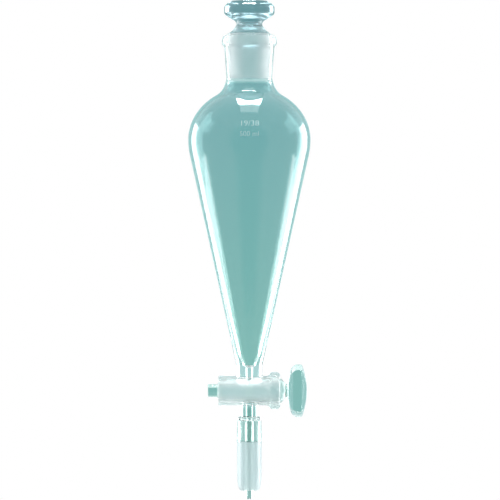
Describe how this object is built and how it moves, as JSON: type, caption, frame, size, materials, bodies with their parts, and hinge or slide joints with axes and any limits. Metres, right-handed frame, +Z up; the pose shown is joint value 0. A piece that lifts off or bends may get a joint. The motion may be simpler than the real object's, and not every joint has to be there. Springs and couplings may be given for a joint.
{
  "type": "dropping funnel",
  "caption": "Pear-shaped glass dropping funnel with a lift-out stopper, a turning stopcock key and a ground lower joint with a drip tip.",
  "frame": {"origin": "centre of the upper (large) end of the ground zone of the lower cone joint, on the centre line", "axes": "+Z up the centre line towards the stopper, +X along the stopcock towards its handle, -Y towards the side with the enamel marks"},
  "size_m": [0.0962, 0.0963, 0.3913],
  "materials": {
    "clear_glass": "clear, fire-polished",
    "ground_glass": "clear glass with finely ground mating faces",
    "enamel": "fired white enamel, matt"
  },
  "bodies": {
    "funnel": {"pear_bulb": "clear_glass", "neck_socket": "ground_glass", "outlet_tube": "clear_glass", "stopcock_barrel": "ground_glass", "stem": "clear_glass", "ground_cone": "ground_glass", "drip_tube": "clear_glass", "size_mark": "enamel", "capacity_mark": "enamel"},
    "stopper": {"stopper_plug": "ground_glass", "stopper_head": "clear_glass"},
    "stopcock_key": {"key_plug": "ground_glass", "key_handle": "clear_glass"}
  },
  "joints": [
    {"name": "stopper_lift", "type": "slide", "parent": "funnel", "child": "stopper", "axis": [0, 0, 1], "range_m": [0, 0.06]},
    {"name": "key_turn", "type": "hinge", "parent": "funnel", "child": "stopcock_key", "pos_m": [0, 0, 0.0412], "axis": [1, 0, 0], "continuous": true}
  ]
}
